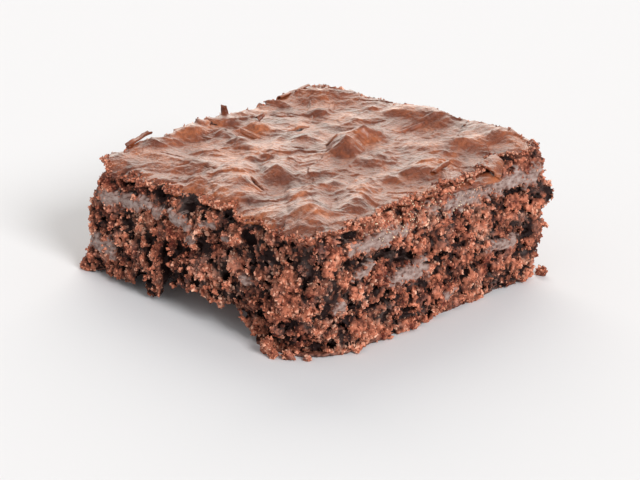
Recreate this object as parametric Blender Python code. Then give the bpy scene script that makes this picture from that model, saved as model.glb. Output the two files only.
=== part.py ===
"""One square of chocolate brownie, cut by eye from an eight-inch tin.

The cake is one solid. A cube is cut into a fine grid and every point of it is moved to its place on the brownie:
a rounded square in plan that leans a little, four cut sides with a lumpy crumb, a crinkled crust that climbs
towards the back and hangs over the sides as a thin lip, and a flat base with a hollow where crumb has dropped
out under the near cut. Metres, +Z up. +X runs along the near cut and +Y along the right-hand cut.
"""

from itertools import product

import bmesh
import bpy
import numpy as np

MM = 0.001

# Driving dimensions
BASE = np.array([71.0, 66.0]) * MM  # the square at the board, along the near cut and the right-hand cut
TOP = np.array([66.0, 66.0]) * MM  # the same at the crust
LEAN = np.array([0.5, 3.1]) * MM  # how far the middle of the top lies from that of the base
HEIGHT = 26.6 * MM  # board to crust, as a mean
RISE = np.array([0.5, 1.7]) * MM  # how much the crust climbs from the middle to the +X and +Y sides
CORNER = 3.4 * MM  # radius of the upright corners in plan

# The crust and its lip
LIP_OUT = 0.5 * MM  # how far the lip stands out from the crumb below it, more or less
LIP_UNEVEN = 0.7 * MM
LIP_THICK = 1.3 * MM
GROOVE_IN = 0.7 * MM  # the crumb drawn in under the lip
GROOVE_TALL = 2.4 * MM
ROLL = 0.7 * MM  # how far the crust turns down at its edge
ROLL_WIDTH = 2.6 * MM

# The hollow under the near cut
HOLLOW_X = -1.5 * MM  # its middle along the near cut
HOLLOW_HALF = 19.5 * MM
HOLLOW_HIGH = 5.6 * MM
HOLLOW_DEEP = 11.0 * MM
HOLLOW_STEEP = 1.6  # 1 slopes from the middle of its roof; more leaves the roof flat for longer

# The foot, where the sides meet the base
FOOT = 0.7 * MM  # its rounding
FOOT_TALL = 1.6 * MM
WORN_CORNER = 13.0 * MM  # radius in plan of the near right-hand corner, which is worn at the board
WORN_TALL = 18.0 * MM

# Rows and columns of the grid
COLUMNS = 36
ROWS = 15

# Knobs of crumb that stand out of the sides, in mm: x, y, z, radius, how far out
KNOBS = (
    (33.0, 32.0, 17.0, 4.5, 3.0),
    (33.0, 32.0, 6.5, 5.5, 2.0),
    (-33.0, -32.0, 26.0, 4.5, -1.2),
    (-34.0, -32.0, 15.0, 5.0, 1.0),
    (-35.0, -32.0, 3.0, 4.0, 0.9),
    (24.0, -31.0, 9.0, 6.0, 1.0),
    (-10.7, -32.0, 9.0, 4.5, 1.4),
    (-28.0, -32.0, 20.0, 5.0, 0.9),
)

# Folds of the crust, in mm: middle x, y, heading in degrees, half length, half width, height
FOLDS = (
    (-31.0, -6.0, 90.0, 24.0, 4.5, 1.7),
    (10.0, 34.0, 0.0, 24.0, 4.5, 1.5),
    (-27.0, 29.0, 40.0, 11.0, 5.5, 1.7),
    (2.0, 15.0, 62.0, 6.5, 2.8, 1.7),
    (7.0, 6.0, 38.0, 10.0, 1.7, 0.9),
    (-19.0, -18.5, 14.0, 12.0, 2.3, 0.9),
    (-17.0, -4.5, 6.0, 11.0, 2.4, 1.0),
    (-23.0, 6.0, 30.0, 8.0, 2.2, 0.9),
    (0.0, 31.0, 20.0, 8.5, 3.0, 1.1),
    (21.0, 25.0, 70.0, 8.0, 3.2, 1.1),
    (16.0, -9.0, 60.0, 7.0, 2.0, 0.9),
    (24.0, -22.0, 50.0, 8.0, 2.2, 0.8),
    (4.0, -24.0, 10.0, 9.0, 2.4, 0.6),
    (24.0, 6.0, 75.0, 6.5, 2.2, 0.8),
    (-8.0, 22.0, -30.0, 6.0, 2.2, 0.8),
)


def ease(t):
    """0 below 0, 1 above 1, and a smooth step between."""
    t = np.clip(t, 0.0, 1.0)
    return t * t * (3.0 - 2.0 * t)


def scatter(cell, seed):
    """Three numbers from -1 to 1 for each whole-number cell, always the same for the same cell and seed."""
    x, y, z = (cell[..., i].astype(np.int64).astype(np.uint32) for i in range(3))
    mixed = x * np.uint32(73856093) ^ y * np.uint32(19349663) ^ z * np.uint32(83492791)
    mixed = mixed ^ np.uint32((seed * 2654435761) % 2**32)
    out = []
    for _ in range(3):
        mixed = (mixed ^ (mixed >> np.uint32(15))) * np.uint32(2246822519)
        mixed = (mixed ^ (mixed >> np.uint32(13))) * np.uint32(3266489917)
        mixed = mixed ^ (mixed >> np.uint32(16))
        out.append(mixed.astype(np.float64) / 2**31 - 1.0)
    return np.stack(out, -1)


def swell(points, size, seed):
    """Smooth lumps from about -1 to 1: a random slope at each corner of a lattice, blended across its cells."""
    place = points / size
    cell = np.floor(place)
    inside = place - cell
    blend = inside**3 * (inside * (inside * 6.0 - 15.0) + 10.0)
    total = 0.0
    for corner in product((0, 1), repeat=3):
        corner = np.array(corner)
        weight = np.where(corner, blend, 1.0 - blend).prod(-1)
        total = total + weight * (scatter(cell + corner, seed) * (inside - corner)).sum(-1)
    return 1.6 * total


def outline(across, share):
    """Point and outward direction on the rounded square at a share of the height, from the edge of a unit square."""
    half = (BASE + share[:, None] * (TOP - BASE)) / 2
    reach = across * half
    near_right = (across[:, 0] > 0.0) & (across[:, 1] < 0.0)
    worn = near_right * (WORN_CORNER - CORNER) * ease(1.0 - share * HEIGHT / WORN_TALL)
    radius = (CORNER + worn)[:, None]
    centre = np.clip(reach, radius - half, half - radius)
    away = reach - centre
    direction = away / np.linalg.norm(away, axis=-1, keepdims=True)
    return centre + radius * direction, direction


def fold(x, y, middle_x, middle_y, heading, half_length, half_width, height):
    """A crease in the crust: a crest that falls away steeply on its near side and gently behind."""
    turn = np.radians(heading)
    along = (x - middle_x * MM) * np.cos(turn) + (y - middle_y * MM) * np.sin(turn)
    over = (y - middle_y * MM) * np.cos(turn) - (x - middle_x * MM) * np.sin(turn)
    width = np.where(over > 0.0, 1.5, 0.7) * half_width * MM
    return height * MM * np.exp(-((along / (half_length * MM)) ** 2) - np.abs(over / width) ** 1.5)


def crust_height(x, y):
    """Height of the crust over the board."""
    flat = np.stack([x, y, np.zeros_like(x)], -1)
    slope = 2.0 * (RISE[0] * x / TOP[0] + RISE[1] * y / TOP[1])
    swells = 0.55 * swell(flat, 15 * MM, 3) + 0.4 * swell(flat, 7 * MM, 5)
    folds = sum(fold(x, y, *sizes) for sizes in FOLDS)
    return HEIGHT - 0.3 * MM + slope + swells * MM + folds


def hollow_height(x, y):
    """Height of the base over the board: zero but for the hollow under the near cut."""
    along = ease(HOLLOW_STEEP * (1.0 - np.abs(x - HOLLOW_X) / HOLLOW_HALF))
    deep = ease(HOLLOW_STEEP * (1.0 - (y + BASE[1] / 2) / HOLLOW_DEEP))
    return HOLLOW_HIGH * along * deep


def side_relief(edge, share):
    """How far the crumb, the lip, the groove under it and the foot stand out from the rounded square."""
    height = share * HEIGHT
    crumb = np.column_stack([edge, height])
    lumps = 0.7 * swell(crumb, 11 * MM, 7) + 0.6 * swell(crumb, 5 * MM, 11)
    knobs = 0.0
    for x, y, z, radius, out in KNOBS:
        away = np.linalg.norm(crumb - np.array([x, y, z]) * MM, axis=1) / (radius * MM)
        knobs = knobs + out * np.exp(-(away**2))
    below_lip = HEIGHT - height - LIP_THICK
    lip = (LIP_OUT + LIP_UNEVEN * swell(crumb, 6 * MM, 13)) * (1.0 - ease(below_lip / (0.4 * MM)))
    groove = GROOVE_IN * ease(below_lip / (0.5 * MM)) * (1.0 - ease(below_lip / GROOVE_TALL))
    foot = FOOT * (1.0 - ease(height / FOOT_TALL))
    return (lumps + knobs) * MM + lip - groove - foot


def level(step):
    """Share of the height for a row: even steps below, and closer ones at the lip."""
    return np.where(step < 0.7, step * 1.25, 1.0 - 0.125 * ((1.0 - step) / 0.3) ** 1.25)


def brownie_point(cube):
    """Where each point of the cube from -1 to 1 lies on the brownie."""
    ring = np.abs(cube[:, :2]).max(-1)
    on_axis = ring == 0.0
    across = np.where(on_axis[:, None], [1.0, 0.0], cube[:, :2] / np.maximum(ring, 1e-9)[:, None])
    share = level((cube[:, 2] + 1.0) / 2)
    edge, outwards = outline(across, share)
    out = side_relief(edge, share)
    plan = (edge + outwards * out[:, None]) * ring[:, None] + LEAN * share[:, None]
    roll = ROLL * ease(1.0 - (1.0 - ring) * TOP[0] / 2 / ROLL_WIDTH)
    crust = crust_height(plan[:, 0], plan[:, 1]) - roll
    base = hollow_height(plan[:, 0], plan[:, 1])
    return np.column_stack([plan, base + share * (crust - base)])


def cut_cube():
    """A cube from -1 to 1 cut into COLUMNS each way across and ROWS up."""
    mesh = bmesh.new()
    bmesh.ops.create_cube(mesh, size=2.0)
    upright = [e for e in mesh.edges if abs(e.verts[0].co.z - e.verts[1].co.z) > 1.0]
    bmesh.ops.subdivide_edges(mesh, edges=upright, cuts=ROWS - 1, use_grid_fill=True)
    for axis in (0, 1):
        running = [e for e in mesh.edges if abs(e.verts[0].co[axis] - e.verts[1].co[axis]) > 1.0]
        bmesh.ops.subdivide_edges(mesh, edges=running, cuts=COLUMNS - 1, use_grid_fill=True)
    return mesh


def join_flat_base(mesh):
    """Makes the faces that lie flat on the board one face."""
    flat = [f for f in mesh.faces if all(abs(v.co.z) < 1e-7 for v in f.verts)]
    bmesh.ops.dissolve_faces(mesh, faces=flat)


def cake_material():
    """Dark baked cocoa crumb."""
    material = bpy.data.materials.new("chocolate_cake")
    material.use_nodes = True
    surface = material.node_tree.nodes["Principled BSDF"]
    surface.inputs["Base Color"].default_value = (0.115, 0.045, 0.028, 1.0)
    surface.inputs["Roughness"].default_value = 0.6
    surface.inputs["Metallic"].default_value = 0.0
    return material


def make_brownie():
    """The brownie as one closed solid, with its origin under the middle of its box, on the board."""
    mesh = cut_cube()
    points = brownie_point(np.array([v.co for v in mesh.verts]))
    points[:, 2] = np.where(points[:, 2] < 1e-9, 0.0, points[:, 2])
    middle = (points.min(0) + points.max(0)) / 2
    points[:, :2] -= middle[:2]
    for vert, point in zip(mesh.verts, points):
        vert.co = point
    join_flat_base(mesh)
    bmesh.ops.triangulate(mesh, faces=mesh.faces)
    bmesh.ops.recalc_face_normals(mesh, faces=mesh.faces)
    data = bpy.data.meshes.new("brownie")
    mesh.to_mesh(data)
    mesh.free()
    data.materials.append(cake_material())
    data.shade_smooth()
    brownie = bpy.data.objects.new("brownie", data)
    bpy.context.scene.collection.objects.link(brownie)
    return brownie


for old in list(bpy.data.objects):
    bpy.data.objects.remove(old)
make_brownie()
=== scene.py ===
"""One square of chocolate brownie: crumb cut by a knife, baked base, crinkled crust, flakes and crumbs.

Lengths are in millimetres until a mesh is made. +X runs along the near cut and +Y along the right-hand cut.
"""

from itertools import product

import bpy
import numpy as np
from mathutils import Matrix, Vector


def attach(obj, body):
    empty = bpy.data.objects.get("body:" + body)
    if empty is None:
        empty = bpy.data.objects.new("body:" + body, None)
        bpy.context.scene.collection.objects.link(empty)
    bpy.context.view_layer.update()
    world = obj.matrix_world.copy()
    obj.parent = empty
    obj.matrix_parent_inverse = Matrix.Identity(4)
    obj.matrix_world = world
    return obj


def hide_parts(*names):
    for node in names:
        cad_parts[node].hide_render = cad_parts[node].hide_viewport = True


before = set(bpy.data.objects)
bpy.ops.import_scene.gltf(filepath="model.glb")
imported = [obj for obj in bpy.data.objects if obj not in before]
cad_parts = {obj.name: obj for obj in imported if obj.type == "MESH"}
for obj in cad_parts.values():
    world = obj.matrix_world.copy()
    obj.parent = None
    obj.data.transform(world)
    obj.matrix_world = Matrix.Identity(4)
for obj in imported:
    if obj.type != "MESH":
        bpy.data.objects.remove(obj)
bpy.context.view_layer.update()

# ------------------------------------------------------------------------------
# The crumb at the four cut sides: baked cocoa sponge, torn open by the knife into clumps, granules and
# pores, with bands of melted chocolate that the blade smeared flat. A thin block of cake runs round the
# sides: how deep a point lies in the cake is worked out through it, and the surface is where that is zero.

BASE = np.array([71.0, 66.0])  # the square at the board, along the near and the right-hand cut
TOP = np.array([66.0, 66.0])  # the same at the crust
LEAN = np.array([0.5, 3.1])  # how far the middle of the top lies from that of the base
MIDDLE = np.array([0.572, 1.908])  # from the middle of the base square to the middle of the box
HEIGHT = 26.6
RISE = np.array([0.5, 1.7])  # how much the crust climbs from the middle to the +X and +Y sides
CORNER = 3.4
WORN_CORNER = 13.0  # radius in plan of the near right-hand corner, which is worn at the board
WORN_TALL = 18.0
HOLLOW_LEFT = -18.3  # the hollow where crumb dropped out under the near cut, from end to end
HOLLOW_RIGHT = 19.5
HOLLOW_HIGH = 5.6
HOLLOW_DEEP = 11.0
HOLLOW_STEEP = 1.6
HANGING = (-11.4, -33.2, 2.3, 3.0)  # the crumb that hangs from its roof: x, y and half sizes
CRUST_THICK = 0.9  # from the top of the crumb to the top of the crust

CLUMP, LUMP, GRANULE = 3.4, 1.7, 0.85  # sizes of the crumb's three orders of clumps
GRAIN = 0.282  # spacing of the block's grid, a third of a granule
SIDE_STEPS = 250  # columns along each side
BLOCK_OUT = 2.0  # how far the block reaches out of the cut and into it
BLOCK_IN = 3.3
CUT_LAYER = 8  # the layer of the block that lies along the cut

LOT_ROWS = 4096
LOTS = np.random.default_rng(11).uniform(-1.0, 1.0, (LOT_ROWS, 4)).astype(np.float32)

# Knobs of crumb that stand out of the sides: x, y, z, radius, how far out
KNOBS = (
    (33.0, 32.0, 17.0, 4.5, 1.6),
    (32.2, 31.8, 17.4, 2.2, 3.2),
    (33.0, 32.0, 8.5, 6.5, 2.3),
    (33.0, 32.0, 24.5, 3.5, 1.2),
    (-33.0, -32.0, 26.0, 4.5, -1.2),
    (-34.0, -32.0, 15.0, 5.0, 1.0),
    (-35.0, -32.0, 3.0, 4.0, 0.9),
    (24.0, -31.0, 9.0, 6.0, 0.8),
    (-10.7, -32.0, 9.0, 4.5, 1.2),
    (-28.0, -32.0, 20.0, 5.0, 0.9),
    (30.0, -28.0, 1.0, 6.5, -1.7),
    (23.5, -32.5, 0.0, 5.0, -1.4),
    (19.0, -33.0, 1.5, 5.0, -1.5),
    (-11.5, -33.0, 2.5, 3.5, 1.1),
    (-19.0, -33.0, 1.0, 4.0, 0.4),
)

# Broad folds of the crust: middle x, y, heading in degrees, half length, half width, height
FOLDS = (
    (-31.0, -6.0, 90.0, 24.0, 4.5, 1.7),
    (10.0, 34.0, 0.0, 24.0, 4.5, 1.5),
    (-27.0, 29.0, 40.0, 11.0, 5.5, 1.7),
    (2.0, 15.0, 62.0, 6.5, 2.8, 1.7),
    (7.0, 6.0, 38.0, 10.0, 1.7, 0.9),
    (-19.0, -18.5, 14.0, 12.0, 2.3, 0.9),
    (-17.0, -4.5, 6.0, 11.0, 2.4, 1.0),
    (-23.0, 6.0, 30.0, 8.0, 2.2, 0.9),
    (0.0, 31.0, 20.0, 8.5, 3.0, 1.1),
    (21.0, 25.0, 70.0, 8.0, 3.2, 1.1),
    (16.0, -9.0, 60.0, 7.0, 2.0, 0.9),
    (24.0, -22.0, 50.0, 8.0, 2.2, 0.8),
    (4.0, -24.0, 10.0, 9.0, 2.4, 0.6),
    (24.0, 6.0, 75.0, 6.5, 2.2, 0.8),
    (-8.0, 22.0, -30.0, 6.0, 2.2, 0.8),
)

# Bands and patches of smeared chocolate: side (0 near, 1 right, 2 far, 3 left), middle along it, height,
# half length, half height, slope of the band
SMEARS = (
    (0, -22.0, 20.7, 13.0, 2.2, -0.06),
    (0, -5.0, 19.8, 3.6, 2.3, -0.3),
    (0, 3.0, 21.0, 2.2, 1.5, 0.4),
    (0, 8.5, 18.6, 2.0, 1.6, 0.0),
    (0, -28.5, 7.8, 5.6, 2.9, -0.1),
    (0, -1.5, 15.0, 1.6, 1.8, 0.0),
    (0, 15.0, 12.0, 1.8, 1.2, 0.2),
    (1, -16.5, 21.9, 10.5, 2.3, 0.0),
    (1, 16.5, 22.6, 21.0, 2.3, -0.02),
    (1, -6.0, 12.2, 7.0, 2.2, -0.1),
    (1, -20.0, 16.5, 3.0, 1.4, 0.3),
    (1, 21.5, 10.2, 5.2, 1.4, -0.08),
    (1, 5.5, 4.2, 3.0, 1.3, 0.1),
    (1, -26.0, 10.5, 2.0, 1.5, 0.2),
    (2, -12.0, 19.5, 15.0, 1.9, 0.03),
    (2, 19.0, 18.5, 9.0, 1.7, -0.05),
    (2, 3.0, 8.0, 7.0, 1.6, 0.05),
    (3, 9.0, 20.0, 16.0, 1.9, 0.02),
    (3, -18.0, 18.5, 8.0, 1.6, 0.06),
    (3, -4.0, 9.0, 6.0, 1.5, -0.06),
)

# Rifts where the knife pulled the crumb apart: x, y, z, and half sizes along X, Y and Z
RIFTS = (
    (-7.5, -32.0, 9.5, 1.5, 2.0, 5.0),
    (-4.5, -32.0, 13.5, 1.2, 1.8, 2.2),
    (1.5, -31.5, 8.0, 1.6, 1.8, 2.4),
    (10.0, -31.5, 12.5, 1.7, 1.8, 2.0),
    (17.5, -31.5, 16.0, 1.4, 1.6, 2.6),
    (-14.0, -31.5, 13.0, 1.6, 1.6, 1.6),
    (20.0, -31.5, 6.5, 2.2, 1.6, 1.0),
    (-12.0, -30.5, 22.6, 2.6, 2.2, 1.4),
    (-3.0, -30.5, 21.8, 2.4, 2.2, 1.6),
    (8.0, -30.2, 23.2, 3.0, 2.2, 1.3),
    (15.5, -30.3, 20.6, 2.0, 2.0, 2.0),
    (-22.0, -30.5, 23.0, 3.0, 1.8, 0.9),
    (34.0, -13.5, 17.6, 1.8, 4.0, 0.6),
    (34.0, -6.0, 15.2, 1.8, 4.5, 0.6),
    (34.5, 2.5, 12.8, 1.8, 4.5, 0.55),
    (34.0, -22.0, 18.2, 2.0, 1.2, 1.0),
    (34.0, 12.5, 16.2, 1.8, 1.0, 0.9),
    (34.5, -14.0, 8.0, 1.8, 6.0, 0.6),
    (33.5, -21.0, 23.6, 2.2, 2.6, 1.0),
    (34.5, 11.0, 7.0, 1.8, 1.2, 1.0),
    (35.0, -6.0, 5.0, 1.8, 2.0, 0.9),
    (8.0, 36.5, 14.0, 4.0, 1.8, 0.6),
    (-16.0, 36.0, 10.0, 1.6, 1.8, 2.2),
    (-33.5, 14.0, 13.0, 1.8, 4.0, 0.6),
    (-33.5, -12.0, 11.0, 1.8, 1.4, 2.0),
)


def ease(t):
    """0 below 0, 1 above 1, and a smooth step between."""
    t = np.clip(t, 0.0, 1.0)
    return t * t * (3.0 - 2.0 * t)


def lot(cell, seed):
    """Four numbers from -1 to 1 for each whole-number cell, which picks a row of one fixed table."""
    x, y, z = cell[..., 0], cell[..., 1], cell[..., 2]
    return LOTS[(x * 1619 ^ y * 31337 ^ z * 6971 ^ (seed * 1013)) & (LOT_ROWS - 1)]


def swell(points, size, seed):
    """Smooth lumps from about -1 to 1: a random slope at each lattice corner, blended across the cells."""
    place = (points / np.float32(size)).astype(np.float32)
    cell = np.floor(place).astype(np.int32)
    inside = place - cell
    blend = inside * inside * inside * (inside * (inside * 6.0 - 15.0) + 10.0)
    total = np.zeros(place.shape[:-1], np.float32)
    for corner in product((0, 1), repeat=3):
        weight = 1.0
        for axis, end in enumerate(corner):
            weight = weight * (blend[..., axis] if end else 1.0 - blend[..., axis])
        step = np.array(corner, np.int32)
        total += weight * (lot(cell + step, seed)[..., :3] * (inside - step)).sum(-1)
    return 1.6 * total


def clump(points, size, seed):
    """Distance in cells to the nearest of the middles scattered one to a lattice cell, and its lot."""
    place = (points / np.float32(size)).astype(np.float32)
    first = np.floor(place - 0.5).astype(np.int32)
    nearest = np.full(place.shape[:-1], 9.0, np.float32)
    lots = np.zeros(place.shape[:-1], np.float32)
    for corner in product((0, 1), repeat=3):
        cell = first + np.array(corner, np.int32)
        drawn = lot(cell, seed)
        away = place - cell - 0.5 - 0.4 * drawn[..., :3]
        distance = (away * away).sum(-1)
        closer = distance < nearest
        nearest = np.where(closer, distance, nearest)
        lots = np.where(closer, drawn[..., 3], lots)
    return np.sqrt(nearest), lots


def around(turn):
    """A point on the edge of a unit square for each turn from 0 to 4: near, right, far and left side."""
    side = np.floor(turn) % 4
    along = 2.0 * (turn - np.floor(turn)) - 1.0
    x = np.choose(side.astype(int), [along, 1.0, -along, -1.0])
    y = np.choose(side.astype(int), [-1.0, along, 1.0, -along])
    return np.stack([x, y], -1)


def outline(across, share):
    """Point and outward direction on the rounded square at a share of the height, where across is the
    point on the edge of a unit square."""
    half = (BASE + share[..., None] * (TOP - BASE)) / 2
    near_right = (across[..., 0] > 0.0) & (across[..., 1] < 0.0)
    worn = near_right * (WORN_CORNER - CORNER) * ease(1.0 - share * HEIGHT / WORN_TALL)
    radius = (CORNER + worn)[..., None]
    reach = across * half
    centre = np.clip(reach, radius - half, half - radius)
    away = reach - centre
    direction = away / np.linalg.norm(away, axis=-1, keepdims=True)
    return centre + radius * direction, direction


def fold(x, y, middle_x, middle_y, heading, half_length, half_width, height):
    """A crease: a crest that falls away steeply on its near side and gently behind."""
    turn = np.radians(heading)
    along = (x - middle_x) * np.cos(turn) + (y - middle_y) * np.sin(turn)
    over = (y - middle_y) * np.cos(turn) - (x - middle_x) * np.sin(turn)
    width = np.where(over > 0.0, 1.5, 0.7) * half_width
    return height * np.exp(-((along / half_length) ** 2) - np.abs(over / width) ** 1.5)


def level(x, y):
    """Points on the board."""
    return np.stack([x, y, np.zeros_like(x)], -1)


def crust_height(x, y):
    """Height of the crust over the board, before its fine crinkle."""
    flat = level(x, y)
    slope = 2.0 * (RISE[0] * x / TOP[0] + RISE[1] * y / TOP[1])
    swells = 0.55 * swell(flat, 15.0, 3) + 0.4 * swell(flat, 7.0, 5)
    return HEIGHT - 0.3 + slope + swells + sum(fold(x, y, *sizes) for sizes in FOLDS)


def hollow_height(x, y):
    """Height of the base over the board: zero but for the hollow, whose roof is ragged and has one crumb
    hanging. Its left end is steep and runs back at a slant, and the foot beyond that is undercut."""
    flat = level(x, y)
    ragged = 1.0 + 0.28 * swell(flat, 3.6, 21) + 0.14 * swell(flat, 1.5, 22)
    behind = np.clip(y + BASE[1] / 2, 0.0, 9.0)
    right_end = ease((HOLLOW_RIGHT - x) / 7.5)
    left_end = 0.33 * ease((x + 37.0) / 20.0) + 0.67 * ease((x + 0.9 * behind - HOLLOW_LEFT) / 3.0)
    along = np.minimum(right_end, left_end)
    deep = ease(HOLLOW_STEEP * (1.0 - (y + BASE[1] / 2) / HOLLOW_DEEP))
    middle_x, middle_y, half_x, half_y = HANGING
    hanging = 5.2 * np.exp(-(((x - middle_x) / half_x) ** 4) - ((y - middle_y) / half_y) ** 4)
    return np.maximum(HOLLOW_HIGH * along * deep * ragged - hanging * along * (0.6 + 0.4 * ragged), 0.0)


def smeared(turn, height, place):
    """1 in the smeared bands and patches, 0 outside, with a torn edge."""
    side = np.floor(turn) % 4
    along = (turn - np.floor(turn) - 0.5) * np.where(side % 2 == 0, TOP[0], TOP[1])
    torn = 0.5 * swell(place, 3.0, 31) + 0.5 * swell(place, 1.3, 32) + 0.4 * swell(place, 0.65, 33) - 0.06
    most = np.full(turn.shape, -9.0)
    for which, middle, level, half_long, half_tall, slope in SMEARS:
        over = (height - level - slope * (along - middle)) / half_tall
        reach = 1.0 - np.sqrt(((along - middle) / half_long) ** 4 + over**2)
        most = np.where(side == which, np.maximum(most, reach), most)
    return ease((most + torn) / 0.45)


def block_points(turn, share, depth):
    """Where each point of the block lies: on the outline, moved in by its depth, between base and crust."""
    across = around(turn)
    edge, outwards = outline(across, share)
    height = share * HEIGHT
    crumb = np.stack([edge[..., 0], edge[..., 1], height], -1)
    lumps = 0.7 * swell(crumb, 11.0, 7) + 0.6 * swell(crumb, 5.0, 11)
    for x, y, z, radius, out in KNOBS:
        away = np.linalg.norm(crumb - np.array([x, y, z]), axis=-1) / radius
        lumps = lumps + out * np.exp(-(away**2))
    foot = 0.6 * (1.0 - ease(height / 1.6))
    plan = edge + outwards * (lumps - foot + 0.3 - depth)[..., None] + LEAN * share[..., None]
    crust = crust_height(plan[..., 0], plan[..., 1]) - CRUST_THICK
    base = hollow_height(plan[..., 0], plan[..., 1])
    return np.concatenate([plan, (base + share * (crust - base))[..., None]], -1)


def spread(reached, open_space):
    """The part of open_space that joins on to what is reached, which grows a step at a time."""
    count = 0
    while count != reached.sum():
        count = reached.sum()
        for _ in range(4):
            grown = reached | np.roll(reached, 1, 0) | np.roll(reached, -1, 0)
            grown[:, 1:] |= reached[:, :-1]
            grown[:, :-1] |= reached[:, 1:]
            grown[:, :, 1:] |= reached[:, :, :-1]
            grown[:, :, :-1] |= reached[:, :, 1:]
            reached = grown & open_space
    return reached


def bend(points):
    """The points moved by smooth lumps of their own, so that no pattern read there looks regular."""
    return points + 0.6 * np.stack([swell(points, 2.4, seed) for seed in (41, 42, 43)], -1)


def cake_depth(points, share, depth, smear):
    """How deep each point lies in the cake: its depth from the cut, plus clumps and granules, less pores
    and rifts."""
    bent = bend(points)
    from_clump, clump_lot = clump(bent, CLUMP, 44)
    from_lump, lump_lot = clump(bent, LUMP, 45)
    from_grain, grain_lot = clump(bent, GRANULE, 46)
    rough = 1.9 * (0.42 - from_clump) + 0.5 * clump_lot
    rough = rough + 1.35 * (0.42 - from_lump) + 0.25 * lump_lot
    rough = rough + 0.75 * (0.45 - from_grain) + 0.12 * grain_lot
    smooth = 0.35 + 0.22 * swell(points, 2.2, 47) + 0.12 * swell(points, 0.8, 48)
    relief = rough + 0.9 * smear * (smooth - rough)

    x, y = points[..., 0], points[..., 1]
    near = ease((x + 15.0) / 5.0) * ease((24.0 - x) / 5.0) * ease((-18.0 - y) / 4.0)
    right = ease((y - 12.0) / 4.0) * ease((28.0 - y) / 4.0) * ease((x - 18.0) / 4.0)
    broken = 2.4 * near * ease((3.4 - depth) / 3.4) + 0.7 * right
    inside = np.minimum(depth + relief, (1.0 - share) * HEIGHT + 0.6 * rough - broken)
    inside = np.minimum(inside, share * HEIGHT + 0.5 * np.minimum(rough, 0.0))
    kept = 1.0 - 0.8 * smear
    for size, largest, seed in ((3.1, 1.2, 51), (1.9, 0.8, 52)):
        away, luck = clump(bent * [1.0, 1.0, 1.25], size, seed)
        radius = largest * np.clip(luck + 0.35, 0.0, 1.0) * kept
        inside = np.minimum(inside, away * size - radius + 0.6 * (0.5 - from_grain))
    for x, y, z, long, deep, tall in RIFTS:
        away = (bent - np.array([x, y, z], np.float32)) / np.array([long, deep, tall], np.float32)
        torn = (np.sqrt((away * away).sum(-1)) - 1.0) * min(long, deep, tall)
        inside = np.minimum(inside, torn + 0.3 * (from_grain - 0.5))
    return inside


rows = int(HEIGHT / GRAIN) + 4
layers = int((BLOCK_OUT + BLOCK_IN) / GRAIN) + 1
turn, share, depth = np.meshgrid(
    np.arange(4 * SIDE_STEPS) / SIDE_STEPS,
    np.linspace(-1.5 * GRAIN / HEIGHT, 1.0 + 2.5 * GRAIN / HEIGHT, rows),
    np.linspace(-BLOCK_OUT, BLOCK_IN, layers),
    indexing="ij",
)
points = block_points(turn, share, depth).astype(np.float32)
smear = smeared(turn[:, :, 0], share[:, :, 0] * HEIGHT, points[:, :, CUT_LAYER])[:, :, None]
inside = cake_depth(points, share, depth, smear)

# Bubbles that never open are filled, and scraps that join on to nothing are dropped
inside[:, :, 0] = -1.0
inside[:, 0] = -1.0
inside[:, -1] = -1.0
air = inside < 0.0
outside = np.zeros_like(air)
outside[:, :, 0] = True
air_joined = spread(outside, air)
inside = np.where(air & ~air_joined, 0.05, inside)
core = np.zeros_like(air)
core[:, 2:-2, -1] = True
cake = spread(core & (inside > 0.0), inside > 0.0)
inside = np.where((inside > 0.0) & ~cake, -0.05, inside).astype(np.float32)


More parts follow.
